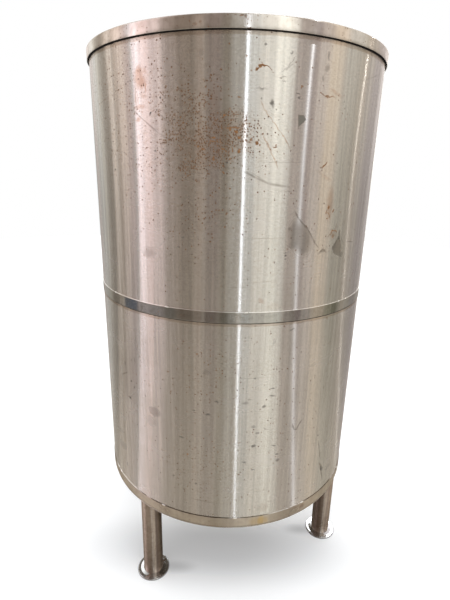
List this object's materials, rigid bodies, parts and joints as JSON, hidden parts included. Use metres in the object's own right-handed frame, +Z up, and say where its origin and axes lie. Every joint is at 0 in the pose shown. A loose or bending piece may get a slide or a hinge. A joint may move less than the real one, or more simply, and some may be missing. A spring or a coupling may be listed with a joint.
{
  "type": "vertical storage tank",
  "caption": "Free-standing upright cylindrical liquid tank of thin sheet metal with a skirted lid, a band round its middle and tube legs on round feet.",
  "frame": {"origin": "on the floor under the middle of the tank, at the bottom centre of its box", "axes": "+Z up along the tank's axis, -Y towards the front that the picture shows, +X to the right seen from the front"},
  "size_m": [1.014, 1.014, 1.927],
  "materials": {
    "shell_sheet": "fine brushed stainless sheet, scratched, with small rust specks",
    "lid_sheet": "brushed stainless sheet, dull, lightly rusted at the edge",
    "strip_sheet": "smooth stainless strip, brighter than the shell",
    "leg_steel": "drawn stainless tube, brownish, scuffed",
    "foot_polished": "mirror polished stainless",
    "drain_fitting": "turned stainless fitting"
  },
  "bodies": {
    "root": {"lid_top": "lid_sheet", "lid_skirt_front": "lid_sheet", "lid_skirt_back": "lid_sheet", "upper_shell_front": "shell_sheet", "upper_shell_right": "shell_sheet", "upper_shell_back": "shell_sheet", "upper_shell_left": "shell_sheet", "mid_band_front": "strip_sheet", "mid_band_back": "strip_sheet", "lower_shell_front": "shell_sheet", "lower_shell_right": "shell_sheet", "lower_shell_back": "shell_sheet", "lower_shell_left": "shell_sheet", "base_band_front": "strip_sheet", "base_band_back": "strip_sheet", "bottom_head": "shell_sheet", "leg_stub_front_left": "leg_steel", "leg_stub_right": "leg_steel", "leg_stub_rear": "leg_steel", "leg_tube_front_left": "leg_steel", "leg_tube_right": "leg_steel", "leg_tube_rear": "leg_steel", "foot_flare_front_left": "foot_polished", "foot_flare_right": "foot_polished", "foot_flare_rear": "foot_polished", "foot_plate_front_left": "foot_polished", "foot_plate_right": "foot_polished", "foot_plate_rear": "foot_polished", "drain_socket": "drain_fitting", "drain_plug": "drain_fitting"}
  },
  "joints": []
}
